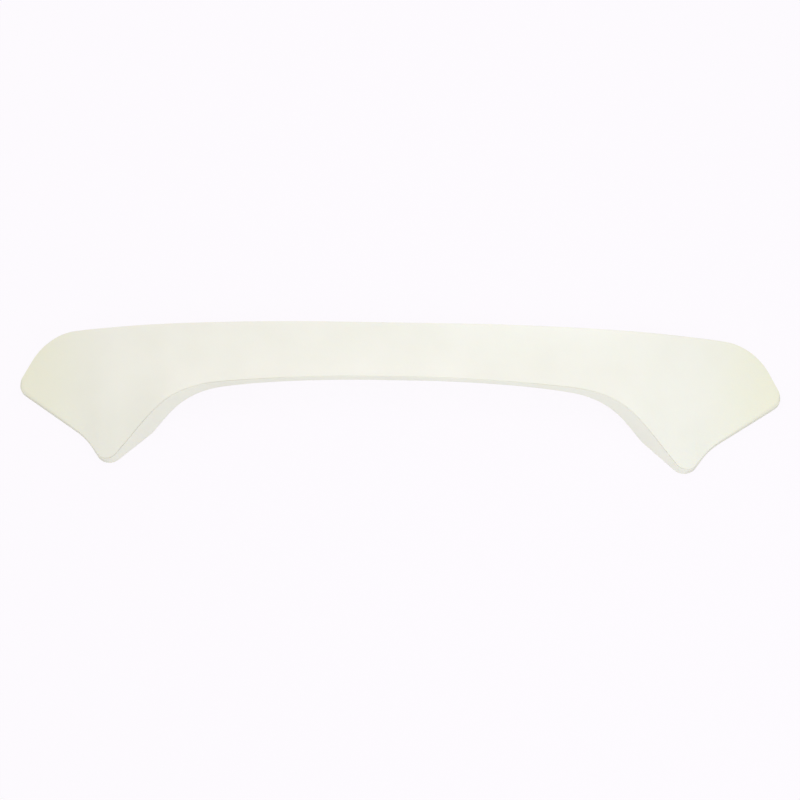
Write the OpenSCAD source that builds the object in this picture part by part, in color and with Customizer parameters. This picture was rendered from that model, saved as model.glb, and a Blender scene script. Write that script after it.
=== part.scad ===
// Raised rear spoiler for a saloon's boot lid: one hollow blow-moulded body, with
// a brass threaded insert at each of its four fixing points.
// X runs across the car, +Y to its rear, +Z up. The origin is at mid-width and
// mid-depth, on the plane of the feet. The car's left-hand side is at +X.

/* [Overall size] */
// Width from end to end
overall_w = 1250; // [1100:5:1400]
// Depth from the trailing edge to the tips of the feet
overall_d = 222; // [200:0.5:250]
// Height of the trailing edge's upper corner at mid-width, before it is rounded
tail_h = 85.5; // [78:0.5:96]

/* [Bar] */
// Chord of the bar at mid-width, from leading to trailing edge
bar_chord = 87.5; // [80:0.5:100]
// Clear height under the bar at mid-width
clearance_h = 48; // [43:0.5:54]
// Height of the leading edge's face, from the underside to the upper shoulder
nose_t = 13; // [11:0.5:16]
// Thickness of the trailing edge
tail_t = 7; // [6:0.5:9]
// Height of the lip that turns up along the trailing edge
lip_h = 19; // [14:0.5:22]
// Depth of that lip, from the trailing edge forwards
lip_d = 78; // [66:1:88]
// Depth of the bar's flat underside behind the leading edge
underside_d = 40; // [34:1:46]
// How far the trailing edge's ends lie ahead of its middle
rear_bow = 7.5; // [4:0.5:12]
// Half-span at which that edge starts to bow
rear_bow_from = 155; // [120:5:200]
// Radius of the trailing edge's bow
rear_bow_r = 3280; // [2600:20:3700]
// How far the leading edge's ends lie ahead of its middle
front_bow = 18; // [14:0.5:22]
// Half-span at which that edge starts to bow
front_bow_from = 138; // [114:2:162]
// Radius of the leading edge's bow
front_bow_r = 2420; // [1900:10:2800]

/* [Legs and feet] */
// Distance of a foot's tip in from the spoiler's end
tip_in = 159; // [140:0.5:180]
// Radius of a foot's tip, seen from above
tip_r = 23.5; // [20:0.5:28]
// Distance from a foot's tip in to the corner where the leading edge meets the leg
knee_in = 135.5; // [118:0.5:154]
// Radius of that corner
knee_r = 150; // [120:5:170]
// Distance from a foot's tip in to the foot of the arch
arch_in = 68.5; // [58:0.5:80]
// Draft of the leading edge and of the legs' inner walls, in degrees
draft = 9.1; // [4:0.1:12]
// Draft of the ends' outer walls, in degrees
end_draft = 2.7; // [1:0.1:6]
// Height of the rim at a foot's tip
rim_h = 13.5; // [12:0.5:17]
// How far a foot's flat base stops short of the trailing edge
heel_d = 30; // [24:1:38]

/* [Ends] */
// Height of the thin rim along the spoiler's end
end_h = 10; // [9:0.5:13]
// Radius of the outermost corner, seen from above
outer_r = 22.5; // [18:0.5:26]
// Distance of that corner's middle ahead of the trailing edge
outer_in = 89.5; // [80:0.5:100]
// Distance in from the spoiler's end of the corner where the trailing edge sweeps forwards
sweep_in = 42; // [36:0.5:48]
// Radius of that sweep
sweep_r = 87; // [70:1:100]
// Distance from a foot's tip out to the waist, where the end's lower edge is hollowed
waist_out = 41; // [36:0.5:46]
// Distance of the waist behind the foot's tip
waist_back = 41; // [36:0.5:46]
// Radius of the waist
waist_r = 107; // [84:1:120]

/* [Moulding] */
// Wall of the moulding
wall = 3; // [2.6:0.1:3.4]
// Depth of the trailing edge that the mould pinches solid
pinch_d = 15; // [13:0.5:20]
// Edge radius of the upper shoulder
shoulder_r = 4; // [3:0.5:6]
// Edge radius along the bottom
base_r = 3; // [1.5:0.5:4]
// Radius of the turn from the underside up to the trailing edge
heel_r = 12; // [6:1:16]
// Bore of the breather hole in each foot
vent_d = 6; // [4:0.5:8]
// Distance of the breather hole out from the fixings
vent_out = 70; // [60:1:80]

/* [Fixings] */
// Distance of the fixings out from the foot's tip
fixing_out = 4; // [1:0.5:7]
// Distance of the front fixing behind the foot's tip
fixing_back = 44; // [38:0.5:50]
// Distance between the front and rear fixings of a foot
fixing_pitch = 96; // [84:1:108]
// Tapping bore of the M6 thread
thread_d = 5; // [4:0.1:5.6]
// Outer diameter of an insert's body
insert_d = 9; // [8:0.25:10]
// Length of an insert
insert_l = 12.5; // [11:0.25:14]
// Closed end of an insert, above its thread
insert_end = 1.5; // [1.2:0.1:2]
// Diameter of an insert's flange
flange_d = 13; // [11.5:0.5:14.5]
// Thickness of an insert's flange
flange_t = 1.2; // [0.8:0.1:1.6]
// Width of the chamfer at the mouth of the thread
thread_chamfer = 0.6; // [0.3:0.1:0.8]
// Plastic round an insert's body, and above it
boss_wall = 4; // [3:0.25:5]
// Clearance between an insert and the moulding
insert_gap = 0.05; // [0.03:0.01:0.1]

/* [Hidden] */
$fn = 48;

half_w = overall_w / 2;
front_y = -overall_d / 2;
rear_y = overall_d / 2;
tip_x = half_w - tip_in;
arch_x = tip_x - arch_in;
knee_x = tip_x - knee_in;
nose_h = clearance_h + nose_t;
fixing_x = tip_x + fixing_out;
fixing_ys = [front_y + fixing_back, front_y + fixing_back + fixing_pitch];
vent = [fixing_x + vent_out, (fixing_ys[0] + fixing_ys[1]) / 2];

// The arch's fullness, the fall of the ends, the rise of the feet and the
// fading of the lip towards the ends, as powers
arch_power = 6.7;
end_power = 3.9;
rise_power = 1.7;
lip_power = 2.5;

// Half-spans between which the shoulder falls to the rim of a foot's tip
fall_from = knee_x + 39;
fall_to = tip_x + 19;

// Height over which the arch eases out of the ground, and the half-span at
// which a foot's base is flat
arch_ease = 5;
arch_to = arch_x * pow(1 + arch_ease / clearance_h, 1 / arch_power);

// Half-spans between which that rim thins to the end's, and the draft to the
// outer walls'
thin_to = tip_x + 2 * waist_out;
draft_to = tip_x + waist_out;

// Half-spans between which the lower edge of the leading wall comes down
// from the bar's underside to the ground
leg_from = knee_x - 49;
leg_to = arch_to;

// Half-span at which the bar's flat underside starts to widen into a foot's base
heel_from = knee_x - 34;

// Most of a narrow section's width that the slanted walls and the lip may take,
// and most of its height that the trailing edge may take
wall_share = 0.25;
heel_share = 0.45;
lip_share = 0.8;
tail_share = 0.33;

// Steepest slope of the plan that the slanted walls allow for
slope_max = 1.5;

// Most of a side that an arc may use: in plan, at a section's edges, on the
// long sides of the shoulder and of the heel, and up to the mid-width in plan
plan_share = 0.62;
edge_share = 0.4;
long_share = 0.8;
short_share = 0.25;
whole_share = 1;

// Facets of an arc in plan and of an edge radius
plan_steps = 12;
edge_steps = 4;
tail_steps = 2;
top_steps = 12;
heel_steps = 3;
hollow_steps = 9;
hollow_turn_steps = 2;

// How far the end's round lies past its flat end face
end_flat = 0.2;

// How far a cutter reaches past the surface that it opens
past = 1;

function mix(a, b, t) = a + (b - a) * t;
function ease(a, b, x) = let (t = min(1, max(0, (x - a) / (b - a)))) t * t * (3 - 2 * t);
function unit(v) = v / norm(v);
function flat(p) = [p[0], p[1]];

// Height of a quarter-round of radius r that starts to rise at t = 0
function roll(t, r) = let (s = min(r, max(0, t))) r - sqrt(r * r - s * s);

// Arc of radius r that rounds the corner p between a and b, where it may use
// the shares use_a and use_b of the two sides
function arc_at(a, p, b, r, steps, use_a = edge_share, use_b = edge_share) =
    let (u = unit(a - p), w = unit(b - p),
         half = acos(max(-1, min(1, u * w))) / 2,
         reach = min(r / tan(half), norm(a - p) * use_a, norm(b - p) * use_b),
         arc_r = reach * tan(half),
         middle = p + unit(u + w) * arc_r / sin(half),
         start = p + u * reach - middle,
         end = p + w * reach - middle,
         turn = atan2(start[0] * end[1] - start[1] * end[0], start * end))
    [for (i = [0:steps])
        let (t = turn * i / steps)
        middle + [start[0] * cos(t) - start[1] * sin(t), start[0] * sin(t) + start[1] * cos(t)]];

// Line through the corners [x, y, radius], each but the first and last rounded,
// as far as its half-span still grows
function plan_line(corners) =
    let (last = len(corners) - 1,
         points = [for (i = [0:last])
            each i == 0 || i == last ? [flat(corners[i])]
                : arc_at(flat(corners[i - 1]), flat(corners[i]), flat(corners[i + 1]), corners[i][2],
                         plan_steps, i == 1 ? whole_share : plan_share, plan_share)])
    [for (i = [0:len(points) - 1]) if (i == 0 || points[i][0] > points[i - 1][0]) points[i]];

// Where the tangents from p and from q to a circle of radius r at c meet
function tangent_corner(p, q, c, r) =
    let (dp = c - p, dq = c - q,
         ap = atan2(dp[1], dp[0]) - asin(r / norm(dp)),
         aq = atan2(dq[1], dq[0]) + asin(r / norm(dq)),
         u = [cos(ap), sin(ap)],
         side = [sin(aq), -cos(aq)])
    p + u * ((q - p) * side) / (u * side);

// Plan of the right half: the corners of the leading and of the trailing edge
knee = [knee_x, rear_y - bar_chord - front_bow];
waist = [draft_to, front_y + waist_back];
sweep = [half_w - sweep_in, rear_y - rear_bow];
tip = tangent_corner(knee, waist, [tip_x, front_y + tip_r], tip_r);
outer = tangent_corner(waist, sweep, [half_w + end_flat - outer_r, rear_y - outer_in], outer_r);
front_line = plan_line([
    [0, rear_y - bar_chord],
    [front_bow_from, rear_y - bar_chord, front_bow_r],
    [knee[0], knee[1], knee_r],
    [tip[0], tip[1], tip_r],
    [waist[0], waist[1], waist_r],
    [outer[0], outer[1], outer_r],
    sweep]);
rear_line = plan_line([
    [0, rear_y],
    [rear_bow_from, rear_y, rear_bow_r],
    [sweep[0], sweep[1], sweep_r],
    [outer[0], outer[1], outer_r],
    waist]);
function front_at(x) = lookup(x, front_line);
function rear_at(x) = lookup(x, rear_line);
function width_at(x) = rear_at(x) - front_at(x);

// Heights at half-span x of the underside, the shoulder, the trailing edge and its lip
function arch_at(x) = let (h = clearance_h * (1 - pow(x / arch_x, arch_power)))
    h > arch_ease ? h : pow(max(0, h + arch_ease), 2) / (4 * arch_ease);
function under_at(x) = arch_at(x) + roll(x - half_w + base_r, base_r);
function shoulder_at(x) = mix(nose_h, rim_h, ease(fall_from, fall_to, x))
    + (end_h - rim_h) * ease(tip_x, thin_to, x) - roll(x - half_w + shoulder_r, shoulder_r);
function tail_at(x) = mix(tail_h, end_h, pow(x / half_w, end_power))
    - roll(x - half_w + shoulder_r, shoulder_r);
function lip_at(x) = lip_h * (1 - pow(x / half_w, lip_power));

// The leading wall leans back by the draft from front_line, which is its plan
// at the height of level_at: the bar's underside, or the ground at the legs
function level_at(x) = clearance_h * (1 - ease(leg_from, leg_to, x));
function slope_at(x) = min(slope_max, abs(front_at(x + 1) - front_at(x - 1)) / 2);
function slant_at(x) = norm([1, slope_at(x)]);
function draft_at(x) = mix(draft, end_draft, ease(tip_x, draft_to, x));
function lean_at(x, z) = (z - level_at(x)) * tan(draft_at(x)) * slant_at(x);

// Corners of the section at half-span x
function toe(x) = [front_at(x) + lean_at(x, arch_at(x)), under_at(x)];
function shoulder(x) =
    [front_at(x) + min(lean_at(x, shoulder_at(x)), width_at(x) * wall_share), shoulder_at(x)];
function tail(x) = [rear_at(x), tail_at(x)];
function tail_foot(x) =
    [rear_at(x), tail_at(x) - min(tail_t, (tail_at(x) - under_at(x)) * tail_share)];
function heel(x) =
    [rear_at(x) - min(mix(bar_chord - underside_d, heel_d, ease(heel_from, arch_x, x)),
                      width_at(x) * heel_share),
     under_at(x)];

// The top: it rises from the shoulder, levels off and turns up into the lip
function top_at(x, y) =
    let (from = shoulder(x), to = tail(x), depth = to[0] - from[0],
         way = (y - from[0]) / depth,
         turn = max(0, 1 - (to[0] - y) / min(lip_d, depth * lip_share)))
    mix(from[1], to[1] - lip_at(x), 1 - pow(max(0, 1 - way), rise_power)) + lip_at(x) * turn * turn;

// Outer section at half-span x, from the middle of the underside round the
// leading edge, over the top and back under the trailing edge
function outer_section(x) =
    let (shoulder = shoulder(x), tail = tail(x), foot = tail_foot(x), heel = heel(x),
         toe = toe(x) - [base_r * (1 / tan(45 - draft_at(x) / 2) - 1), 0],
         middle = mix(toe, heel, 0.5),
         top = [for (i = [1:top_steps - 1])
             let (y = mix(shoulder[0], tail[0], i / top_steps)) [y, top_at(x, y)]],
         last = top[len(top) - 1])
    concat([middle],
        arc_at(middle, toe, shoulder, base_r, edge_steps),
        arc_at(toe, shoulder, top[0], shoulder_r, edge_steps, edge_share, long_share),
        top,
        arc_at(last, tail, foot, tail_t, tail_steps),
        arc_at(tail, foot, heel, tail_t, tail_steps, edge_share, short_share),
        [for (i = [1:heel_steps - 1]) mix(foot, heel, mix(short_share, 1 - short_share, i / heel_steps))],
        arc_at(foot, heel, middle, heel_r, edge_steps, short_share, edge_share));

// Section of the hollow inside it, a wall's thickness in from every side
function hollow_section(x) =
    let (inset = wall * slant_at(x), foot = tail_foot(x), heel = heel(x),
         climb = (foot[1] - heel[1]) / (foot[0] - heel[0]),
         lift = wall * norm([1, climb]),
         from = shoulder(x)[0] + inset, to = rear_at(x) - pinch_d,
         floor_z = under_at(max(0, x - wall)) + wall,
         corner = [toe(x)[0] + inset, floor_z],
         back = [to, heel[1] + (to - heel[0]) * climb + lift],
         turn = [heel[0] + (floor_z - heel[1] - lift) / climb, floor_z])
    concat([corner],
        [for (i = [0:hollow_steps])
            let (y = mix(from, to, i / hollow_steps)) [y, top_at(x, y) - wall]],
        [back],
        arc_at(back, turn, corner, heel_r - wall, hollow_turn_steps, long_share, edge_share));

// Half-spans of the sections: close together where the plan or the arch turns fast
function even(a, b, n) = [for (i = [0:n - 1]) mix(a, b, i / n)];
function slowing(a, b, n) = [for (i = [0:n - 1]) mix(a, b, sin(90 * i / n))];
knee_from = knee_x - knee_r * plan_share;
arch_from = arch_x - 33;
tip_from = tip_x - tip_r;
tip_to = tip_x + tip_r + base_r;
end_from = half_w - sweep_in;
outer_stations = concat(even(0, knee_from, 6), even(knee_from, arch_from, 8),
    even(arch_from, arch_to, 7), even(arch_to, tip_from, 4), even(tip_from, tip_to, 11),
    even(tip_to, end_from, 7), slowing(end_from, half_w, 9), [half_w]);
hollow_stations = concat(even(0, knee_from, 4), even(knee_from, arch_from, 7),
    even(arch_from, arch_to, 6), even(arch_to, tip_from, 2), even(tip_from, tip_to, 7),
    even(tip_to, end_from, 5), [end_from]);

// Closed skin through one section for each half-span, mirrored to the left half
module loft(stations, sections) {
    last = len(stations) - 1;
    around = len(sections[0]);
    rings = [for (i = [-last:last])
        [for (p = sections[abs(i)]) [sign(i) * stations[abs(i)], p[0], p[1]]]];
    ends = [for (k = [0, 2 * last])
        [for (c = [0:2]) [for (p = rings[k]) p[c]] * [for (p = rings[k]) 1] / around]];
    skin = [for (i = [0:2 * last - 1], j = [0:around - 1])
        let (k = (j + 1) % around, a = i * around + j, b = i * around + k,
             c = a + around, d = b + around)
        each i < last ? [[a, b, c], [b, d, c]] : [[a, b, d], [a, d, c]]];
    far = (2 * last) * around;
    caps = [for (j = [0:around - 1])
        let (k = (j + 1) % around, hub = far + around)
        each [[hub, k, j], [hub + 1, far + j, far + k]]];
    polyhedron(points = concat([for (r = rings) each r], ends), faces = concat(skin, caps),
               convexity = 10);
}

// An insert's outline, and its pocket, which is larger by a clearance
module insert_form() {
    cylinder(d = insert_d, h = insert_l);
    cylinder(d = flange_d, h = flange_t);
}

module insert_pocket() {
    cylinder(d = insert_d + 2 * insert_gap, h = insert_l + insert_gap);
    translate([0, 0, -past])
        cylinder(d = flange_d + 2 * insert_gap, h = flange_t + insert_gap + past);
}

module at_fixings() {
    for (x = [-fixing_x, fixing_x], y = fixing_ys)
        translate([x, y, 0]) children();
}

module spoiler_shell() color("ivory") difference() {
    loft(outer_stations, [for (x = outer_stations) outer_section(x)]);
    difference() {
        loft(hollow_stations, [for (x = hollow_stations) hollow_section(x)]);
        at_fixings() cylinder(d = insert_d + 2 * boss_wall, h = insert_l + boss_wall);
    }
    at_fixings() insert_pocket();
    for (side = [-1, 1])
        translate([side * vent[0], vent[1], 0]) cylinder(d = vent_d, h = 4 * wall, center = true);
}

module insert(side, row) color("goldenrod")
    translate([side * fixing_x, fixing_ys[row], 0]) difference() {
        insert_form();
        translate([0, 0, -past]) cylinder(d = thread_d, h = insert_l - insert_end + past);
        rotate_extrude() polygon([[0, -past], [thread_d / 2 + thread_chamfer + past, -past],
            [thread_d / 2 - past, thread_chamfer + past], [0, thread_chamfer + past]]);
    }

spoiler_shell();
insert(1, 0);  // insert_left_front
insert(1, 1);  // insert_left_rear
insert(-1, 0);  // insert_right_front
insert(-1, 1);  // insert_right_rear
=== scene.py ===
# Raised rear spoiler for a saloon's boot lid: one hollow blow moulding in unpainted
# ABS, with a brass threaded insert at each of its four fixing points.
# X runs across the car, +Y to its rear, +Z up. The origin is at mid-width and
# mid-depth, on the plane of the feet. The car's left-hand side is at +X.
import math

import bpy
import numpy as np
from mathutils import Matrix, Vector


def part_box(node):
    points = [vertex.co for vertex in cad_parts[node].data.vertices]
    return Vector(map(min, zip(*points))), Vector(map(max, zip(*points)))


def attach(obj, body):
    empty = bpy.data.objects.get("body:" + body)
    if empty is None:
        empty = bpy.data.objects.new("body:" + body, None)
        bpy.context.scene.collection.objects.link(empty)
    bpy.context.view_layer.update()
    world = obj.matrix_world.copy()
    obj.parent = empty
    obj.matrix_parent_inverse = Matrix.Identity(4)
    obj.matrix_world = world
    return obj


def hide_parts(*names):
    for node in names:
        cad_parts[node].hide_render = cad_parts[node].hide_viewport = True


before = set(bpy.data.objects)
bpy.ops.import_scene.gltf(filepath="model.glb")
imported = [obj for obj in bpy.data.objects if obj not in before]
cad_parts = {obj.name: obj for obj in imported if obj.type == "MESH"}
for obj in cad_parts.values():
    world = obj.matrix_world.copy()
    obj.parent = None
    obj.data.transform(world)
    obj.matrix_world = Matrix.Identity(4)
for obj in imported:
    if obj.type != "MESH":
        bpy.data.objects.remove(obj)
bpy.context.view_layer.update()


# The moulded body
# One hollow body blown in a two-part mould out of natural ABS, a bar that runs out
# into two swept feet. Its skin and its hollow are lofts through flat sections across
# the car, worked out here in millimetres, and a node tree skins and cuts them.
MM = 0.001
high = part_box("spoiler_shell")[1]
half_w = high.x / MM
rear_y = high.y / MM
front_y = -rear_y

# The bar: its trailing edge, its depth and the height under it, the lip, and the bow
# of its two long edges
tail_h, tail_t = 85.5, 7.0
bar_chord, clearance_h, nose_t = 87.5, 48.0, 13.0
lip_h, lip_d, underside_d = 19.0, 78.0, 40.0
rear_bow, rear_bow_from, rear_bow_r = 7.5, 155.0, 3280.0
front_bow, front_bow_from, front_bow_r = 18.0, 138.0, 2420.0

# The legs and feet: the pointed tip, the knee, the arch's foot, the walls' draft, the
# flat base, and the stretches over which the shoulder falls and the walls come down
tip_in, tip_r, knee_in, knee_r, arch_in = 159.0, 23.5, 135.5, 150.0, 68.5
draft, end_draft = math.radians(9.1), math.radians(2.7)
heel_d, heel_before_knee, leg_before_knee = 30.0, 34.0, 49.0
fall_past_knee, fall_past_tip = 39.0, 19.0

# The ends: the rim, the outer corner and the sliver that its flat end takes off it, the
# sweep to the rear, and the waist between corner and tip
rim_h, end_h = 13.5, 10.0
outer_r, outer_in, end_flat, sweep_in, sweep_r = 22.5, 89.5, 0.02, 42.0, 87.0
waist_out, waist_back, waist_r = 41.0, 41.0, 107.0

# Roundings: the ends seen from ahead, the base, the heel, and the shoulder's edge along
# the legs and at the ends. The edge takes its radius as far as its shares allow.
shoulder_r, base_r, heel_r, leg_edge_r, end_edge_r = 4.0, 3.0, 12.0, 2.5, 2.0
plan_share, edge_share, long_share, short_share = 0.62, 0.4, 0.8, 0.25

# How sharply the arch, the ends, the top and the lip turn, and the most that a wall, a
# base, the lip and the trailing edge may take of a narrow section
arch_power, arch_ease, end_power, rise_power, lip_power = 6.7, 5.0, 3.9, 1.7, 2.5
wall_share, heel_share, lip_share, tail_share, slope_max = 0.25, 0.45, 0.8, 0.33, 1.5

# The wall, the solid trailing edge, and the mould's parting line along the shoulder.
# The real line is a few tenths of a millimetre deep. It is drawn deeper so that it
# shows, and deepest on the legs.
wall, pinch_d = 3.0, 15.0
bar_line_d, leg_line_d, line_from, line_to, line_steps = 0.9, 1.4, 140.0, 270.0, 2

tip_x = half_w - tip_in
arch_x = tip_x - arch_in
knee_x = tip_x - knee_in
nose_h = clearance_h + nose_t
fall_from, fall_to = knee_x + fall_past_knee, tip_x + fall_past_tip
arch_to = arch_x * (1 + arch_ease / clearance_h) ** (1 / arch_power)
thin_to = tip_x + 2 * waist_out
draft_to = tip_x + waist_out
leg_from, leg_to = knee_x - leg_before_knee, arch_to
heel_from = knee_x - heel_before_knee


def mix(a, b, t):
    return a + (b - a) * t


def ease(a, b, x):
    t = min(1, max(0, (x - a) / (b - a)))
    return t * t * (3 - 2 * t)


def roll(t, r):
    """Height of a quarter-round of radius r that starts to rise at t = 0."""
    s = min(r, max(0, t))
    return r - math.sqrt(r * r - s * s)


def rounded(a, p, b, r, steps, use_a=edge_share, use_b=edge_share):
    """Arc of radius r that rounds the corner p between a and b, within those shares."""
    a, p, b = np.array(a), np.array(p), np.array(b)
    to_a, to_b = a - p, b - p
    side_a, side_b = np.linalg.norm(to_a), np.linalg.norm(to_b)
    u, w = to_a / side_a, to_b / side_b
    half = math.acos(max(-1, min(1, u @ w))) / 2
    reach = min(r / math.tan(half), side_a * use_a, side_b * use_b)
    arc_r = reach * math.tan(half)
    middle = p + (u + w) / np.linalg.norm(u + w) * arc_r / math.sin(half)
    start, end = p + u * reach - middle, p + w * reach - middle
    turn = math.atan2(start[0] * end[1] - start[1] * end[0], start @ end)
    angles = turn * np.arange(steps + 1) / steps
    c, s = np.cos(angles), np.sin(angles)
    return middle + np.stack([start[0] * c - start[1] * s, start[0] * s + start[1] * c], 1)


def plan_line(corners, steps=60):
    """Line through corners (x, y, radius), rounded, as far as its half-span still grows."""
    points = [corners[0][:2]]
    for i in range(1, len(corners) - 1):
        before, corner, after = corners[i - 1], corners[i], corners[i + 1]
        use = 1.0 if i == 1 else plan_share
        points.extend(rounded(
            before[:2], corner[:2], after[:2], corner[2], steps, use, plan_share))
    kept = [points[0]]
    for before, point in zip(points, points[1:]):
        if point[0] > before[0]:
            kept.append(point)
    return np.array(kept)


def tangent_corner(p, q, c, r):
    """Where the tangents from p and from q to a circle of radius r at c meet."""
    p, q, c = np.array(p), np.array(q), np.array(c)
    dp, dq = c - p, c - q
    angle_p = math.atan2(dp[1], dp[0]) - math.asin(r / np.linalg.norm(dp))
    angle_q = math.atan2(dq[1], dq[0]) + math.asin(r / np.linalg.norm(dq))
    u = np.array([math.cos(angle_p), math.sin(angle_p)])
    side = np.array([math.sin(angle_q), -math.cos(angle_q)])
    return p + u * ((q - p) @ side) / (u @ side)


knee = (knee_x, rear_y - bar_chord - front_bow)
waist = (draft_to, front_y + waist_back)
sweep = (half_w - sweep_in, rear_y - rear_bow)
tip = tangent_corner(knee, waist, (tip_x, front_y + tip_r), tip_r)
outer = tangent_corner(waist, sweep, (half_w + end_flat - outer_r, rear_y - outer_in), outer_r)
front_line = plan_line([
    (0.0, rear_y - bar_chord, 0),
    (front_bow_from, rear_y - bar_chord, front_bow_r),
    (*knee, knee_r), (*tip, tip_r), (*waist, waist_r), (*outer, outer_r), (*sweep, 0)])
rear_line = plan_line([
    (0.0, rear_y, 0),
    (rear_bow_from, rear_y, rear_bow_r),
    (*sweep, sweep_r), (*outer, outer_r), (*waist, 0)])


def front_at(x):
    return np.interp(x, *front_line.T)


def rear_at(x):
    return np.interp(x, *rear_line.T)


def width_at(x):
    return rear_at(x) - front_at(x)


def arch_at(x):
    """Height of the space under the bar, eased into the base where it comes down."""
    h = clearance_h * (1 - (x / arch_x) ** arch_power)
    return h if h > arch_ease else max(0, h + arch_ease) ** 2 / (4 * arch_ease)


def under_at(x):
    """Height of the underside, which turns up at the end."""
    return arch_at(x) + roll(x - half_w + base_r, base_r)


def shoulder_at(x):
    """Height of the leading wall's upper edge: it falls to the foot's thin rim."""
    fall = mix(nose_h, rim_h, ease(fall_from, fall_to, x))
    thinning = (end_h - rim_h) * ease(tip_x, thin_to, x)
    return fall + thinning - roll(x - half_w + shoulder_r, shoulder_r)


def tail_at(x):
    """Height of the trailing edge's upper corner."""
    fall = mix(tail_h, end_h, (x / half_w) ** end_power)
    return fall - roll(x - half_w + shoulder_r, shoulder_r)


def lip_at(x):
    return lip_h * (1 - (x / half_w) ** lip_power)


def slant_at(x):
    """How much longer a step square to the front line is, seen along Y."""
    slope = min(slope_max, abs(front_at(x + 1) - front_at(x - 1)) / 2)
    return math.hypot(1, slope)


def draft_at(x):
    return mix(draft, end_draft, ease(tip_x, draft_to, x))


def lean_at(x, z):
    """How far the leading wall leans back at height z, from its lower edge's plan."""
    level = clearance_h * (1 - ease(leg_from, leg_to, x))
    return (z - level) * math.tan(draft_at(x)) * slant_at(x)


def section_corners(x):
    """Toe, shoulder, tail, tail foot and heel of the section at half-span x, as (y, z)."""
    under, top, edge = under_at(x), shoulder_at(x), tail_at(x)
    toe = (front_at(x) + lean_at(x, arch_at(x)), under)
    shoulder = (front_at(x) + min(lean_at(x, top), width_at(x) * wall_share), top)
    tail = (rear_at(x), edge)
    tail_foot = (rear_at(x), edge - min(tail_t, (edge - under) * tail_share))
    flat_to = mix(bar_chord - underside_d, heel_d, ease(heel_from, arch_x, x))
    heel = (rear_at(x) - min(flat_to, width_at(x) * heel_share), under)
    return [np.array(corner) for corner in (toe, shoulder, tail, tail_foot, heel)]


def top_at(x, y, shoulder, tail):
    """The top: it rises from the shoulder, levels off and turns up into the lip."""
    depth = tail[0] - shoulder[0]
    way = (y - shoulder[0]) / depth
    turn = np.maximum(0, 1 - (tail[0] - y) / min(lip_d, depth * lip_share))
    rise = 1 - np.maximum(0, 1 - way) ** rise_power
    return mix(shoulder[1], tail[1] - lip_at(x), rise) + lip_at(x) * turn ** 2


edge_steps, tail_steps, top_steps, side_steps = 8, 6, 44, 8


def outer_section(x):
    """Closed outline at half-span x, from mid-base round the front, top and rear."""
    toe, shoulder, tail, tail_foot, heel = section_corners(x)
    toe[0] -= base_r * (1 / math.tan(math.pi / 4 - draft_at(x) / 2) - 1)
    middle = (toe + heel) / 2
    ys = mix(shoulder[0], tail[0], np.arange(1, top_steps) / top_steps)
    top = np.stack([ys, top_at(x, ys, shoulder, tail)], 1)
    edge_r = mix(leg_edge_r, end_edge_r, ease(tip_x, draft_to, x))
    toe_arc = rounded(middle, toe, shoulder, base_r, edge_steps)
    shoulder_arc = rounded(
        toe, shoulder, top[0], edge_r, edge_steps, edge_share, long_share)
    tail_arc = rounded(top[-1], tail, tail_foot, tail_t, tail_steps)
    foot_arc = rounded(tail, tail_foot, heel, tail_t, tail_steps, edge_share, short_share)
    heel_arc = rounded(tail_foot, heel, middle, heel_r, edge_steps, short_share, edge_share)
    between = (np.arange(1, side_steps) / side_steps)[:, None]

    # The parting line: the middle of the shoulder's arc is drawn in to a V
    across = shoulder_arc[-1] - shoulder_arc[0]
    inwards = np.array([across[1], -across[0]]) / np.linalg.norm(across)
    line_d = mix(bar_line_d, leg_line_d, ease(line_from, line_to, x))
    line_d *= 1 - ease(tip_x, thin_to, x)
    off_middle = abs(np.arange(edge_steps + 1) - edge_steps / 2)
    shoulder_arc += np.maximum(0, 1 - off_middle / line_steps)[:, None] * inwards * line_d
    return np.concatenate([
        mix(middle, toe_arc[0], np.append(0, between)[:, None]), toe_arc,
        mix(toe_arc[-1], shoulder_arc[0], between), shoulder_arc, top, tail_arc, foot_arc,
        mix(foot_arc[-1], heel_arc[0], between), heel_arc, mix(heel_arc[-1], middle, between)])


hollow_top_steps, turn_steps = 20, 6


def hollow_section(x):
    """Outline of the hollow at half-span x, a wall's thickness in from every side."""
    toe, shoulder, tail, tail_foot, heel = section_corners(x)
    inset = wall * slant_at(x)
    climb = (tail_foot[1] - heel[1]) / (tail_foot[0] - heel[0])
    lift = wall * math.hypot(1, climb)
    start, end = shoulder[0] + inset, tail[0] - pinch_d
    floor_z = under_at(max(0, x - wall)) + wall
    corner = (toe[0] + inset, floor_z)
    back = (end, heel[1] + (end - heel[0]) * climb + lift)
    turn = (heel[0] + (floor_z - heel[1] - lift) / climb, floor_z)
    ys = mix(start, end, np.arange(hollow_top_steps + 1) / hollow_top_steps)
    ceiling = np.stack([ys, top_at(x, ys, shoulder, tail) - wall], 1)
    return np.concatenate([
        [corner], ceiling, [back],
        rounded(back, turn, corner, heel_r - wall, turn_steps, long_share, edge_share)])


knee_from = knee_x - knee_r * plan_share
arch_before = 33.0
arch_from = arch_x - arch_before
tip_from, tip_to = tip_x - tip_r, tip_x + tip_r + base_r
end_from = half_w - sweep_in
stretches = (0.0, knee_from, arch_from, arch_to, tip_from, tip_to, end_from)


def stations(counts):
    """Half-spans of the sections, with each stretch of the half cut into its count."""
    cuts = zip(stretches, stretches[1:], counts)
    return np.concatenate([mix(a, b, np.arange(n) / n) for a, b, n in cuts])


def slowing(a, b, n):
    """Half-spans from a, closer and closer together towards b."""
    return mix(a, b, np.sin(math.pi / 2 * np.arange(n) / n))


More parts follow.
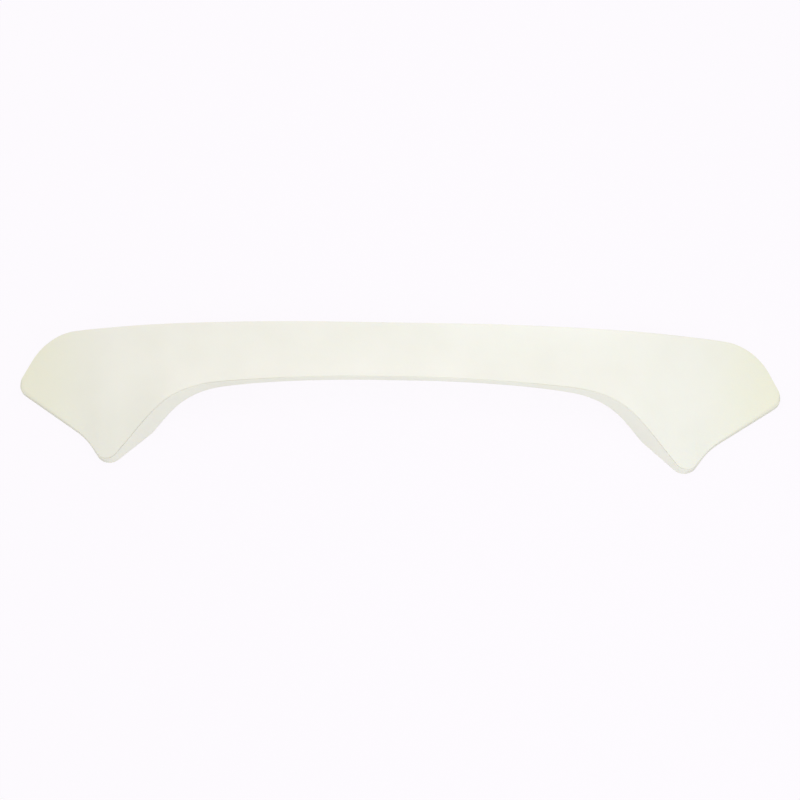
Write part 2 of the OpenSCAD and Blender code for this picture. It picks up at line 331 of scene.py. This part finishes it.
def net_of(spans, section):
    """Points of the half's sections, ring by ring, with the last ring drawn to a hub."""
    rings = [np.insert(section(x), 0, x, 1) for x in spans]
    hub = np.mean(rings[-1], axis=0)
    return np.array(rings + [np.tile(hub, (len(rings[-1]), 1))])


skin_counts, end_count = (30, 40, 40, 12, 50, 32), 44
hollow_counts = 14, 20, 16, 6, 20, 14
skin_net = net_of(
    [*stations(skin_counts), *slowing(end_from, half_w, end_count), half_w], outer_section)
hollow_net = net_of([*stations(hollow_counts), end_from], hollow_section)

# The fixings' pockets and bosses, and the breather hole in each foot
fixing_out, fixing_back, fixing_pitch = 4.0, 44.0, 96.0
insert_r, insert_l, flange_r, flange_t, insert_gap, boss_wall = 4.5, 12.5, 6.5, 1.2, 0.05, 4.0
vent_r, vent_out = 3.0, 70.0
fixing_x, fixing_front = tip_x + fixing_out, front_y + fixing_back
fixing_mid = fixing_front + fixing_pitch / 2
bored_sides, crisp_turn = 48, math.radians(40)


def add(tree, kind, settings=None, inputs=None):
    """Adds a node, with its settings and its inputs' values or links."""
    node = tree.nodes.new(kind)
    for name, value in (settings or {}).items():
        setattr(node, name, value)
    for name, value in (inputs or {}).items():
        for item in value if isinstance(value, list) else [value]:
            if isinstance(item, bpy.types.NodeSocket):
                tree.links.new(item, node.inputs[name])
            else:
                node.inputs[name].default_value = item
    return node


def new_tree(name, sizes):
    """A geometry tree with a geometry input and a named input for each size."""
    tree = bpy.data.node_groups.new(name, "GeometryNodeTree")
    tree.interface.new_socket("Geometry", in_out="INPUT", socket_type="NodeSocketGeometry")
    for size, kind in sizes.items():
        tree.interface.new_socket(size, in_out="INPUT", socket_type="NodeSocket" + kind)
    tree.interface.new_socket("Geometry", in_out="OUTPUT", socket_type="NodeSocketGeometry")
    return tree, tree.nodes.new("NodeGroupInput").outputs


def made_by(tree, name, seed, values):
    """The plain mesh that the tree makes from the seed mesh with those values."""
    source = bpy.data.objects.new(name, seed)
    bpy.context.scene.collection.objects.link(source)
    modifier = source.modifiers.new("made", "NODES")
    modifier.node_group = tree
    for item in tree.interface.items_tree:
        if item.in_out == "INPUT" and item.name in values:
            modifier[item.identifier] = values[item.name]
    bpy.context.view_layer.update()
    graph = bpy.context.evaluated_depsgraph_get()
    mesh = bpy.data.meshes.new_from_object(source.evaluated_get(graph))
    finishes = [material for material in mesh.materials if material]
    mesh.materials.clear()
    mesh.materials.append(finishes[0])
    source.modifiers.clear()
    source.data = mesh
    return source


def linear(code):
    """An sRGB hex colour, as the linear colour that a shader takes."""
    parts = [int(code[i:i + 2], 16) / 255 for i in (0, 2, 4)]
    lin = [c / 12.92 if c <= 0.04045 else ((c + 0.055) / 1.055) ** 2.4 for c in parts]
    return (*lin, 1.0)


# Natural ABS, blow moulded and left unpainted: an opaque ivory plastic with a satin
# skin, a little yellower where the mould pinched it thick at the ends. The eye gets a
# broad soft highlight, a faint clouding of the colour, faces that aren't quite flat and a
# skin like fine orange peel. Low on the ends' leading rims a darker tone is painted in
# as shade.
cloud_size, wave_size, wave_d, peel_size, peel_d, scatter_d = 70.0, 55.0, 0.3, 3.0, 0.08, 3.0

# Where the painted shade on the ends' rims fades in and is full: upwards from the base,
# downwards from the rim's top, outwards from the tip of the foot, and forwards
rim_shade_bands = (("Z", 0.3, 1.5), ("Z", 11.5, 9.3), ("span", -5.0, 15.0), ("Y", 45.0, 15.0))


def natural_abs():
    material = bpy.data.materials.new("natural_abs_moulded")
    material.use_nodes = True
    tree = material.node_tree
    tree.nodes.clear()
    place = add(tree, "ShaderNodeTexCoord").outputs["Object"]
    apart = add(tree, "ShaderNodeSeparateXYZ", inputs={"Vector": place})
    span = add(tree, "ShaderNodeMath", {"operation": "ABSOLUTE"}, {0: apart.outputs["X"]})
    thick = add(tree, "ShaderNodeMapRange", {"interpolation_type": "SMOOTHSTEP"}, {
        "Value": span.outputs[0], "From Min": tip_x * MM, "From Max": half_w * MM})
    cloud = add(tree, "ShaderNodeTexNoise", {"noise_dimensions": "3D"}, {
        "Vector": place, "Scale": 1 / (cloud_size * MM), "Detail": 2.0, "Roughness": 0.45})
    body = add(tree, "ShaderNodeMix", {"data_type": "RGBA"}, {
        0: cloud.outputs[0], 6: linear("F4F1E9"), 7: linear("EDEAE0")})
    tone = add(tree, "ShaderNodeMix", {"data_type": "RGBA"}, {
        0: thick.outputs[0], 6: body.outputs[2], 7: linear("EFECDA")})
    places = {"span": (span.outputs[0], tip_x), "Y": (apart.outputs["Y"], 0.0),
              "Z": (apart.outputs["Z"], 0.0)}
    rim_shade_mask = 1.0
    for way, start, end in rim_shade_bands:
        value, zero = places[way]
        band = add(tree, "ShaderNodeMapRange", {"interpolation_type": "SMOOTHSTEP"}, {
            "Value": value, "From Min": (zero + start) * MM, "From Max": (zero + end) * MM})
        rim_shade_mask = add(tree, "ShaderNodeMath", {"operation": "MULTIPLY"}, {
            0: rim_shade_mask, 1: band.outputs[0]}).outputs[0]
    # Painted shade: low on the ends' leading rims the colour is darkened towards DEDBCE
    rim_shaded_tone = add(tree, "ShaderNodeMix", {"data_type": "RGBA"}, {
        0: rim_shade_mask, 6: tone.outputs[2], 7: linear("DEDBCE")})
    gloss = add(tree, "ShaderNodeMapRange", inputs={
        "Value": cloud.outputs[0], "To Min": 0.36, "To Max": 0.46})
    skin = None
    for size, depth in ((wave_size, wave_d), (peel_size, peel_d)):
        relief = add(tree, "ShaderNodeTexNoise", {"noise_dimensions": "3D"}, {
            "Vector": place, "Scale": 1 / (size * MM), "Detail": 1.0})
        below = {"Normal": skin.outputs[0]} if skin else {}
        skin = add(tree, "ShaderNodeBump", inputs={
            "Height": relief.outputs[0], "Strength": 0.5, "Distance": depth * MM, **below})
    surface = add(tree, "ShaderNodeBsdfPrincipled", inputs={
        "Base Color": rim_shaded_tone.outputs[2], "Roughness": gloss.outputs[0], "IOR": 1.53,
        "Subsurface Weight": 0.12, "Subsurface Radius": (1.0, 0.8, 0.5),
        "Subsurface Scale": scatter_d * MM, "Normal": skin.outputs[0]})
    add(tree, "ShaderNodeOutputMaterial", inputs={"Surface": surface.outputs[0]})
    return material


# The tree that skins one net of points: a grid takes its points ring by ring, and
# the seam and the end's pole are closed once the half is mirrored.
joined_within = 0.0001
loft, given = new_tree("loft", {"First": "Int", "Rings": "Int", "Around": "Int"})
columns = add(loft, "ShaderNodeMath", {"operation": "ADD"}, {0: given["Around"], 1: 1.0})
grid = add(loft, "GeometryNodeMeshGrid", inputs={
    "Vertices X": given["Rings"], "Vertices Y": columns.outputs[0]})
index = add(loft, "GeometryNodeInputIndex")
row = add(loft, "ShaderNodeMath", {"operation": "DIVIDE"}, {
    0: index.outputs[0], 1: columns.outputs[0]})
row = add(loft, "ShaderNodeMath", {"operation": "FLOOR"}, {0: row.outputs[0]})
column = add(loft, "ShaderNodeMath", {"operation": "MODULO"}, {
    0: index.outputs[0], 1: columns.outputs[0]})
column = add(loft, "ShaderNodeMath", {"operation": "MODULO"}, {
    0: column.outputs[0], 1: given["Around"]})
point = add(loft, "ShaderNodeMath", {"operation": "MULTIPLY_ADD"}, {
    0: row.outputs[0], 1: given["Around"], 2: column.outputs[0]})
point = add(loft, "ShaderNodeMath", {"operation": "ADD"}, {
    0: point.outputs[0], 1: given["First"]})
position = add(loft, "GeometryNodeInputPosition")
sample = add(loft, "GeometryNodeSampleIndex", {"data_type": "FLOAT_VECTOR", "domain": "POINT"}, {
    "Geometry": given["Geometry"], "Value": position.outputs[0], "Index": point.outputs[0]})
half = add(loft, "GeometryNodeSetPosition", inputs={
    "Geometry": grid.outputs["Mesh"], "Position": sample.outputs[0]})
mirror = add(loft, "GeometryNodeTransform", inputs={
    "Geometry": half.outputs[0], "Scale": (-1.0, 1.0, 1.0)})
turned = add(loft, "GeometryNodeFlipFaces", inputs={"Mesh": mirror.outputs[0]})
both = add(loft, "GeometryNodeJoinGeometry", inputs={0: [turned.outputs[0], half.outputs[0]]})
closed = add(loft, "GeometryNodeMergeByDistance", inputs={
    "Geometry": both.outputs[0], "Distance": joined_within * MM})
add(loft, "NodeGroupOutput", inputs={0: closed.outputs[0]})

# The tree that makes the body: the hollow is taken out of the skin except for a boss
# round each insert, and then the inserts' pockets and the breather holes are bored.
moulding, given = new_tree("moulding", {
    "Skin Rings": "Int", "Skin Around": "Int", "Hollow Rings": "Int", "Hollow Around": "Int",
    "Fixing Span": "Float", "Fixing Pitch": "Float", "Fixing Middle": "Vector",
    "Boss Radius": "Float", "Boss Height": "Float", "Pocket Radius": "Float",
    "Pocket Depth": "Float", "Flange Radius": "Float", "Flange Depth": "Float",
    "Vent Radius": "Float", "Vent Depth": "Float", "Vent Span": "Float"})


def bored(rows, span, pitch, radius, depth):
    """Cylinders of that depth into the base, on a grid about the fixings' middle."""
    points = add(moulding, "GeometryNodeMeshGrid", inputs={
        "Size X": span, "Size Y": pitch, "Vertices X": 2, "Vertices Y": rows})
    placed = add(moulding, "GeometryNodeTransform", inputs={
        "Geometry": points.outputs["Mesh"], "Translation": given["Fixing Middle"]})
    height = add(moulding, "ShaderNodeMath", {"operation": "MULTIPLY"}, {0: depth, 1: 2.0})
    cutter = add(moulding, "GeometryNodeMeshCylinder", inputs={
        "Vertices": bored_sides, "Radius": radius, "Depth": height.outputs[0]})
    copies = add(moulding, "GeometryNodeInstanceOnPoints", inputs={
        "Points": placed.outputs[0], "Instance": cutter.outputs["Mesh"]})
    return add(moulding, "GeometryNodeRealizeInstances", inputs={
        "Geometry": copies.outputs[0]}).outputs[0]


fixings = 2, given["Fixing Span"], given["Fixing Pitch"]
bosses = bored(*fixings, given["Boss Radius"], given["Boss Height"])
pockets = bored(*fixings, given["Pocket Radius"], given["Pocket Depth"])
flanges = bored(*fixings, given["Flange Radius"], given["Flange Depth"])
vents = bored(1, given["Vent Span"], 0.0, given["Vent Radius"], given["Vent Depth"])
skin = add(moulding, "GeometryNodeGroup", {"node_tree": loft}, {
    "Geometry": given["Geometry"], "First": 0, "Rings": given["Skin Rings"],
    "Around": given["Skin Around"]})
first = add(moulding, "ShaderNodeMath", {"operation": "MULTIPLY"}, {
    0: given["Skin Rings"], 1: given["Skin Around"]})
hollow = add(moulding, "GeometryNodeGroup", {"node_tree": loft}, {
    "Geometry": given["Geometry"], "First": first.outputs[0],
    "Rings": given["Hollow Rings"], "Around": given["Hollow Around"]})
cut = {"operation": "DIFFERENCE", "solver": "MANIFOLD"}
room = add(moulding, "GeometryNodeMeshBoolean", cut, {
    "Mesh 1": hollow.outputs[0], "Mesh 2": bosses})
shell = add(moulding, "GeometryNodeMeshBoolean", cut, {
    "Mesh 1": skin.outputs[0], "Mesh 2": [room.outputs["Mesh"], pockets, flanges, vents]})
smooth = add(moulding, "GeometryNodeSetShadeSmooth", inputs={"Geometry": shell.outputs["Mesh"]})
turn = add(moulding, "GeometryNodeInputMeshEdgeAngle")
crisp = add(moulding, "FunctionNodeCompare", {"operation": "GREATER_THAN"}, {
    0: turn.outputs["Unsigned Angle"], 1: crisp_turn})
edged = add(moulding, "GeometryNodeSetShadeSmooth", {"domain": "EDGE"}, {
    "Geometry": smooth.outputs[0], "Selection": crisp.outputs[0], "Shade Smooth": False})
whole = add(moulding, "GeometryNodeRealizeInstances", inputs={"Geometry": edged.outputs[0]})
finish = add(moulding, "GeometryNodeSetMaterial", inputs={
    "Geometry": whole.outputs[0], "Material": natural_abs()})
add(moulding, "NodeGroupOutput", inputs={0: finish.outputs[0]})

nets = bpy.data.meshes.new("moulding_nets")
points = np.concatenate([skin_net.reshape(-1, 3), hollow_net.reshape(-1, 3)])
nets.from_pydata((points * MM).tolist(), [], [])
body = made_by(moulding, "spoiler_body", nets, {
    "Skin Rings": len(skin_net), "Skin Around": len(skin_net[0]),
    "Hollow Rings": len(hollow_net), "Hollow Around": len(hollow_net[0]),
    "Fixing Span": 2 * fixing_x * MM, "Fixing Pitch": fixing_pitch * MM,
    "Fixing Middle": (0.0, fixing_mid * MM, 0.0),
    "Boss Radius": (insert_r + boss_wall) * MM, "Boss Height": (insert_l + boss_wall) * MM,
    "Pocket Radius": (insert_r + insert_gap) * MM, "Pocket Depth": (insert_l + insert_gap) * MM,
    "Flange Radius": (flange_r + insert_gap) * MM, "Flange Depth": (flange_t + insert_gap) * MM,
    "Vent Radius": vent_r * MM, "Vent Depth": 2 * wall * MM,
    "Vent Span": 2 * (fixing_x + vent_out) * MM})
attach(body, "root")
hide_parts("spoiler_shell")


# The threaded inserts
# Four blind M6 inserts turned and knurled from brass bar. The moulding grips each by
# its knurled body, and its flange lies flush with the foot's base, mouth downwards.
bore_r, insert_end, chamfer = 2.5, 1.5, 0.6
thread_d, thread_pitch, thread_turns, turn_points, ridge_points = 0.48, 1.0, 9.0, 36, 4
knurls, knurl_d, knurl_from, knurl_to = 28, 0.35, 2.4, 11.3
turned_sides = 72
bore_l = insert_l - insert_end


# Free-cutting brass, turned and a little dulled by storage: a yellow metal. The eye
# gets fine rings round the axis from the lathe and a soft, slightly uneven gloss.
# The real rings are 0.1 mm apart, and are drawn 0.5 mm apart so that they show.
ring_pitch, ring_d, dull_size = 0.5, 0.01, 4.0


def turned_brass():
    material = bpy.data.materials.new("brass_turned")
    material.use_nodes = True
    tree = material.node_tree
    tree.nodes.clear()
    place = add(tree, "ShaderNodeTexCoord").outputs["Object"]
    away = add(tree, "ShaderNodeAttribute", {"attribute_name": "off_axis"})
    rings = add(tree, "ShaderNodeMath", {"operation": "MULTIPLY"}, {
        0: away.outputs["Fac"], 1: 2 * math.pi / (ring_pitch * MM)})
    rings = add(tree, "ShaderNodeMath", {"operation": "SINE"}, {0: rings.outputs[0]})
    dull = add(tree, "ShaderNodeTexNoise", {"noise_dimensions": "3D"}, {
        "Vector": place, "Scale": 1 / (dull_size * MM), "Detail": 3.0})
    tone = add(tree, "ShaderNodeMix", {"data_type": "RGBA"}, {
        0: dull.outputs[0], 6: linear("E3C583"), 7: linear("CBA866")})
    gloss = add(tree, "ShaderNodeMapRange", inputs={
        "Value": dull.outputs[0], "To Min": 0.22, "To Max": 0.4})
    marks = add(tree, "ShaderNodeBump", inputs={
        "Height": rings.outputs[0], "Strength": 0.4, "Distance": ring_d * MM})
    surface = add(tree, "ShaderNodeBsdfPrincipled", inputs={
        "Base Color": tone.outputs[2], "Roughness": gloss.outputs[0], "Metallic": 1.0,
        "Normal": marks.outputs[0]})
    add(tree, "ShaderNodeOutputMaterial", inputs={"Surface": surface.outputs[0]})
    return material


# The tree that makes an insert: a flanged barrel, less a ring of wedges for the knurls,
# the drilled hole, its chamfer, and a ridge that follows the thread's spiral.
insert, given = new_tree("threaded_insert", {
    "Place": "Vector", "Radius": "Float", "Length": "Float", "Flange Radius": "Float",
    "Flange Thickness": "Float", "Bore": "Float", "Bore Length": "Float", "Chamfer": "Float",
    "Thread Depth": "Float", "Turns": "Float", "Thread Length": "Float", "Knurls": "Int",
    "Knurl Depth": "Float", "Knurl From": "Float", "Knurl To": "Float"})


def rod(radius, length):
    """A cylinder that stands on the base's plane, about the axis."""
    form = add(insert, "GeometryNodeMeshCylinder", inputs={
        "Vertices": turned_sides, "Radius": radius, "Depth": length})
    middle = add(insert, "ShaderNodeMath", {"operation": "MULTIPLY"}, {0: length, 1: 0.5})
    shift = add(insert, "ShaderNodeCombineXYZ", inputs={"Z": middle.outputs[0]})
    return add(insert, "GeometryNodeTransform", inputs={
        "Geometry": form.outputs["Mesh"], "Translation": shift.outputs[0]}).outputs[0]


barrel = rod(given["Radius"], given["Length"])
flange = rod(given["Flange Radius"], given["Flange Thickness"])
both_ways = add(insert, "ShaderNodeMath", {"operation": "MULTIPLY"}, {
    0: given["Bore Length"], 1: 2.0})
bore = add(insert, "GeometryNodeMeshCylinder", inputs={
    "Vertices": turned_sides, "Radius": given["Bore"], "Depth": both_ways.outputs[0]})

# The chamfer is cut by a cone at 45 degrees. It starts a chamfer's height below the
# mouth and ends as far above the chamfer, so it is three of them high.
narrow = add(insert, "ShaderNodeMath", {"operation": "SUBTRACT"}, {
    0: given["Bore"], 1: given["Chamfer"]})
wide = add(insert, "ShaderNodeMath", {"operation": "MULTIPLY_ADD"}, {
    0: given["Chamfer"], 1: 2.0, 2: given["Bore"]})
tall = add(insert, "ShaderNodeMath", {"operation": "MULTIPLY"}, {0: given["Chamfer"], 1: 3.0})
cone = add(insert, "GeometryNodeMeshCone", inputs={
    "Vertices": turned_sides, "Radius Top": narrow.outputs[0], "Radius Bottom": wide.outputs[0],
    "Depth": tall.outputs[0]})
below = add(insert, "ShaderNodeMath", {"operation": "MULTIPLY"}, {0: given["Chamfer"], 1: -1.0})
lowered = add(insert, "ShaderNodeCombineXYZ", inputs={"Z": below.outputs[0]})
mouth = add(insert, "GeometryNodeTransform", inputs={
    "Geometry": cone.outputs["Mesh"], "Translation": lowered.outputs[0]})

spiral = add(insert, "GeometryNodeCurveSpiral", inputs={
    "Resolution": turn_points, "Rotations": given["Turns"], "Start Radius": given["Bore"],
    "End Radius": given["Bore"], "Height": given["Thread Length"]})
ridge = add(insert, "GeometryNodeCurvePrimitiveCircle", inputs={
    "Resolution": ridge_points, "Radius": given["Thread Depth"]})
thread = add(insert, "GeometryNodeCurveToMesh", inputs={
    "Curve": spiral.outputs[0], "Profile Curve": ridge.outputs["Curve"], "Fill Caps": True})

# A wedge is a square bar turned so that one edge points at the axis
diagonal, on_edge = math.sqrt(2), math.pi / 4
ring = add(insert, "GeometryNodeMeshCircle", inputs={
    "Vertices": given["Knurls"], "Radius": given["Radius"]})
knurl_h = add(insert, "ShaderNodeMath", {"operation": "SUBTRACT"}, {
    0: given["Knurl To"], 1: given["Knurl From"]})
side = add(insert, "ShaderNodeMath", {"operation": "MULTIPLY"}, {
    0: given["Knurl Depth"], 1: diagonal})
wedge_size = add(insert, "ShaderNodeCombineXYZ", inputs={
    "X": side.outputs[0], "Y": side.outputs[0], "Z": knurl_h.outputs[0]})
wedge = add(insert, "GeometryNodeMeshCube", inputs={"Size": wedge_size.outputs[0]})
number = add(insert, "GeometryNodeInputIndex")
step = add(insert, "ShaderNodeMath", {"operation": "DIVIDE"}, {
    0: 2 * math.pi, 1: given["Knurls"]})
angle = add(insert, "ShaderNodeMath", {"operation": "MULTIPLY_ADD"}, {
    0: number.outputs[0], 1: step.outputs[0], 2: on_edge})
facing = add(insert, "ShaderNodeCombineXYZ", inputs={"Z": angle.outputs[0]})
wedges = add(insert, "GeometryNodeInstanceOnPoints", inputs={
    "Points": ring.outputs["Mesh"], "Instance": wedge.outputs["Mesh"],
    "Rotation": facing.outputs[0]})
wedges = add(insert, "GeometryNodeRealizeInstances", inputs={"Geometry": wedges.outputs[0]})
knurl_mid = add(insert, "ShaderNodeMath", {"operation": "MULTIPLY_ADD"}, {
    0: knurl_h.outputs[0], 1: 0.5, 2: given["Knurl From"]})
height = add(insert, "ShaderNodeCombineXYZ", inputs={"Z": knurl_mid.outputs[0]})
knurling = add(insert, "GeometryNodeTransform", inputs={
    "Geometry": wedges.outputs[0], "Translation": height.outputs[0]})

blank = add(insert, "GeometryNodeMeshBoolean", cut, {
    "Mesh 1": barrel, "Mesh 2": knurling.outputs[0]})
solid = add(insert, "GeometryNodeMeshBoolean", {**cut, "operation": "UNION"}, {
    "Mesh 2": [blank.outputs["Mesh"], flange]})
tapped = add(insert, "GeometryNodeMeshBoolean", cut, {
    "Mesh 1": solid.outputs["Mesh"],
    "Mesh 2": [bore.outputs["Mesh"], mouth.outputs[0], thread.outputs[0]]})
spot = add(insert, "GeometryNodeInputPosition")
flat = add(insert, "ShaderNodeVectorMath", {"operation": "MULTIPLY"}, {
    0: spot.outputs[0], 1: (1.0, 1.0, 0.0)})
away = add(insert, "ShaderNodeVectorMath", {"operation": "LENGTH"}, {0: flat.outputs[0]})
marked = add(insert, "GeometryNodeStoreNamedAttribute", {"data_type": "FLOAT"}, {
    "Geometry": tapped.outputs["Mesh"], "Name": "off_axis", "Value": away.outputs["Value"]})
placed = add(insert, "GeometryNodeTransform", inputs={
    "Geometry": marked.outputs[0], "Translation": given["Place"]})
whole = add(insert, "GeometryNodeRealizeInstances", inputs={"Geometry": placed.outputs[0]})
finish = add(insert, "GeometryNodeSetMaterial", inputs={
    "Geometry": whole.outputs[0], "Material": turned_brass()})
add(insert, "NodeGroupOutput", inputs={0: finish.outputs[0]})

for side_name, side_sign in (("left", 1), ("right", -1)):
    for row_name, place_y in (("front", fixing_front), ("rear", fixing_front + fixing_pitch)):
        node = "insert_%s_%s" % (side_name, row_name)
        brass = made_by(insert, node + "_brass", bpy.data.meshes.new(node + "_seed"), {
            "Place": (side_sign * fixing_x * MM, place_y * MM, 0.0),
            "Radius": insert_r * MM, "Length": insert_l * MM,
            "Flange Radius": flange_r * MM, "Flange Thickness": flange_t * MM,
            "Bore": bore_r * MM, "Bore Length": bore_l * MM, "Chamfer": chamfer * MM,
            "Thread Depth": thread_d * MM, "Turns": thread_turns,
            "Thread Length": thread_turns * thread_pitch * MM, "Knurls": knurls,
            "Knurl Depth": knurl_d * MM, "Knurl From": knurl_from * MM,
            "Knurl To": knurl_to * MM})
        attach(brass, "root")
        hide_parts(node)


# The studio
# A white table, an even white surround and two softboxes, with the camera ahead of the
# spoiler and high above it, a little to the car's left. The camera, gloss and glass see
# the table as plain white, dimmed only where the spoiler's shadow falls. It lies a
# hair's breadth below the feet, so that no two faces coincide.
table_size, table_z, plain_share = 6.0, -0.3, 0.05
seen_white = linear("FEFBFF")


def studio_white():
    material = bpy.data.materials.new("studio_white")
    material.use_nodes = True
    tree = material.node_tree
    tree.nodes.clear()
    path = add(tree, "ShaderNodeLightPath")
    seen = add(tree, "ShaderNodeMath", {"operation": "MAXIMUM"}, {
        0: path.outputs["Is Camera Ray"], 1: path.outputs["Is Glossy Ray"]})
    seen = add(tree, "ShaderNodeMath", {"operation": "MAXIMUM"}, {
        0: seen.outputs[0], 1: path.outputs["Is Transmission Ray"]})
    share = add(tree, "ShaderNodeMath", {"operation": "MULTIPLY"}, {
        0: seen.outputs[0], 1: 1 - plain_share})
    plain = add(tree, "ShaderNodeBsdfDiffuse", inputs={"Color": linear("F0EEF0")})
    white = add(tree, "ShaderNodeEmission", inputs={"Color": seen_white, "Strength": 1.0})
    both = add(tree, "ShaderNodeMixShader", inputs={
        0: share.outputs[0], 1: plain.outputs[0], 2: white.outputs[0]})
    add(tree, "ShaderNodeOutputMaterial", inputs={"Surface": both.outputs[0]})
    return material


table_mesh = bpy.data.meshes.new("table")
corners = [(x * table_size / 2, y * table_size / 2, table_z * MM)
           for x, y in ((-1, -1), (1, -1), (1, 1), (-1, 1))]
table_mesh.from_pydata(corners, [], [(0, 1, 2, 3)])
table_mesh.materials.append(studio_white())
table = bpy.data.objects.new("table", table_mesh)
bpy.context.scene.collection.objects.link(table)

world = bpy.data.worlds.new("studio")
bpy.context.scene.world = world
world.use_nodes = True
world.node_tree.nodes.clear()
path = add(world.node_tree, "ShaderNodeLightPath")
ambient = add(world.node_tree, "ShaderNodeBackground", inputs={
    "Color": linear("FDFFFA"), "Strength": 0.845})
shown = add(world.node_tree, "ShaderNodeBackground", inputs={
    "Color": seen_white, "Strength": 1.0})
chosen = add(world.node_tree, "ShaderNodeMixShader", inputs={
    0: path.outputs["Is Camera Ray"], 1: ambient.outputs[0], 2: shown.outputs[0]})
add(world.node_tree, "ShaderNodeOutputWorld", inputs={"Surface": chosen.outputs[0]})


def softbox(name, place, size, power, code):
    """A square area lamp that faces the spoiler's middle."""
    lamp = bpy.data.lights.new(name, "AREA")
    lamp.size = size
    lamp.energy = power
    lamp.color = linear(code)[:3]
    holder = bpy.data.objects.new(name, lamp)
    holder.location = place
    holder.rotation_euler = (-Vector(place)).to_track_quat("-Z", "Y").to_euler()
    bpy.context.scene.collection.objects.link(holder)


softbox_size = 0.6
softbox("front_softbox", (0.5, -0.6, 1.1), softbox_size, 3.4, "E2F0FF")
softbox("rear_softbox", (-0.1, 0.6, 1.0), softbox_size, 1.43, "FFE9FC")

camera_azimuth, camera_elevation, camera_roll = map(math.radians, (6.182, 68.212, -4.721))
camera_distance, lens_mm, sensor_mm = 3.0632, 85, 36
camera_target = Vector((0.00641, -0.00659, 0.04))
back = Vector((
    math.sin(camera_azimuth) * math.cos(camera_elevation),
    -math.cos(camera_azimuth) * math.cos(camera_elevation),
    math.sin(camera_elevation)))
lens = bpy.data.cameras.new("camera")
lens.lens = lens_mm
lens.sensor_width = sensor_mm
camera = bpy.data.objects.new("camera", lens)
level = back.to_track_quat("Z", "Y").to_matrix()
camera.matrix_world = (
    Matrix.Translation(camera_target + back * camera_distance)
    @ (level @ Matrix.Rotation(camera_roll, 3, "Z")).to_4x4())
bpy.context.scene.collection.objects.link(camera)
bpy.context.scene.camera = camera
bpy.context.scene.view_settings.view_transform = "Standard"
